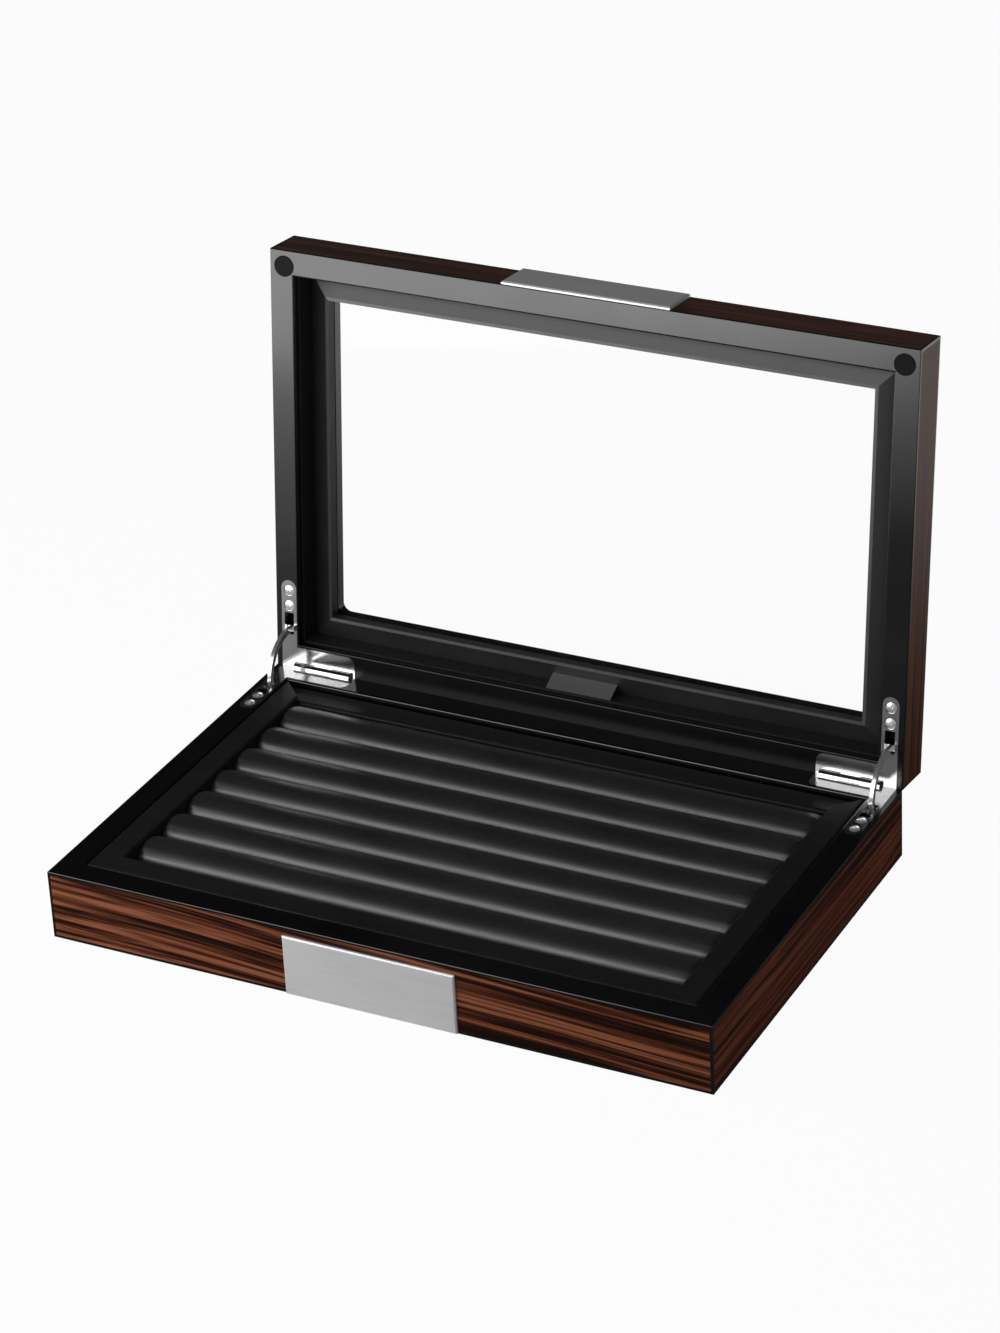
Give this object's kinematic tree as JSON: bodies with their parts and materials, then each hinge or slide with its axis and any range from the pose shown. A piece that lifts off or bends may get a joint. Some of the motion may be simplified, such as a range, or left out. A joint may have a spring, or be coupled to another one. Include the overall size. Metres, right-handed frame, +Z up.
{
  "type": "cufflink display box",
  "caption": "Flat wooden case with a padded ribbed tray for cufflinks and a glass-windowed lid that stands open on quadrant hinges.",
  "frame": {"origin": "centre of the underside of the base", "axes": "+X to the right along the box, +Y to the hinges at the rear, +Z up"},
  "size_m": [0.32, 0.2536, 0.2408],
  "materials": {
    "black_lacquered_wood": "gloss black lacquer",
    "striped_veneer": "satin striped dark veneer",
    "board": "matt black board",
    "felt": "matt felt",
    "black_leather": "satin smooth leather",
    "padded_roll": "satin smooth leather over foam",
    "label_plate": "satin black",
    "bumper_rubber": "satin black",
    "window_glass": "clear polished",
    "satin_plate": "satin brushed",
    "hinge_steel": "polished",
    "hinge_nickel": "polished nickel"
  },
  "bodies": {
    "base": {"base_felt": "felt", "bottom_board": "board", "base_front_plate": "satin_plate", "base_front_wall": "black_lacquered_wood", "base_rear_wall": "black_lacquered_wood", "base_left_wall": "black_lacquered_wood", "base_right_wall": "black_lacquered_wood", "base_front_veneer": "striped_veneer", "base_rear_veneer": "striped_veneer", "base_left_veneer": "striped_veneer", "base_right_veneer": "striped_veneer", "tray_floor": "board", "tray_front_border": "black_leather", "tray_rear_border": "black_leather", "tray_left_border": "black_leather", "tray_right_border": "black_leather", "tray_roll_1": "padded_roll", "tray_roll_2": "padded_roll", "tray_roll_3": "padded_roll", "tray_roll_4": "padded_roll", "tray_roll_5": "padded_roll", "tray_roll_6": "padded_roll", "tray_roll_7": "padded_roll", "hinge_base_leaf_left": "hinge_nickel", "hinge_base_leaf_right": "hinge_nickel", "hinge_pin_left": "hinge_steel", "hinge_pin_right": "hinge_steel", "hinge_base_screws": "hinge_nickel"},
    "lid": {"lid_front_wall": "black_lacquered_wood", "lid_rear_wall": "black_lacquered_wood", "lid_left_wall": "black_lacquered_wood", "lid_right_wall": "black_lacquered_wood", "lid_front_top_rail": "black_lacquered_wood", "lid_rear_top_rail": "black_lacquered_wood", "lid_left_top_rail": "black_lacquered_wood", "lid_right_top_rail": "black_lacquered_wood", "lid_front_veneer": "striped_veneer", "lid_rear_veneer": "striped_veneer", "lid_left_veneer": "striped_veneer", "lid_right_veneer": "striped_veneer", "lid_top_veneer": "striped_veneer", "lid_front_plate": "satin_plate", "window_glass": "window_glass", "lid_front_lining": "black_leather", "lid_rear_lining": "black_leather", "lid_left_lining": "black_leather", "lid_right_lining": "black_leather", "window_front_bezel": "black_leather", "window_rear_bezel": "black_leather", "window_left_bezel": "black_leather", "window_right_bezel": "black_leather", "lid_label": "label_plate", "lid_bumpers": "bumper_rubber", "hinge_lid_leaf_left": "hinge_nickel", "hinge_lid_leaf_right": "hinge_nickel", "hinge_lid_screws": "hinge_nickel"},
    "arm_left": {"hinge_arm_left": "hinge_steel"},
    "arm_right": {"hinge_arm_right": "hinge_steel"}
  },
  "joints": [
    {"name": "lid_hinge", "type": "hinge", "parent": "base", "child": "lid", "pos_m": [0, 0.10295, 0.0345], "axis": [1, 0, 0], "range_deg": [0, 96.35]},
    {"name": "left_arm_swing", "type": "hinge", "parent": "base", "child": "arm_left", "pos_m": [-0.1531, 0.10295, 0.0345], "axis": [1, 0, 0], "range_deg": [0, 48.38]},
    {"name": "right_arm_swing", "type": "hinge", "parent": "base", "child": "arm_right", "pos_m": [0.1531, 0.10295, 0.0345], "axis": [1, 0, 0], "range_deg": [0, 48.38]}
  ],
  "couplings": [
    {"joint": "left_arm_swing", "follows": "lid_hinge", "ratio": 0.5},
    {"joint": "right_arm_swing", "follows": "lid_hinge", "ratio": 0.5}
  ]
}
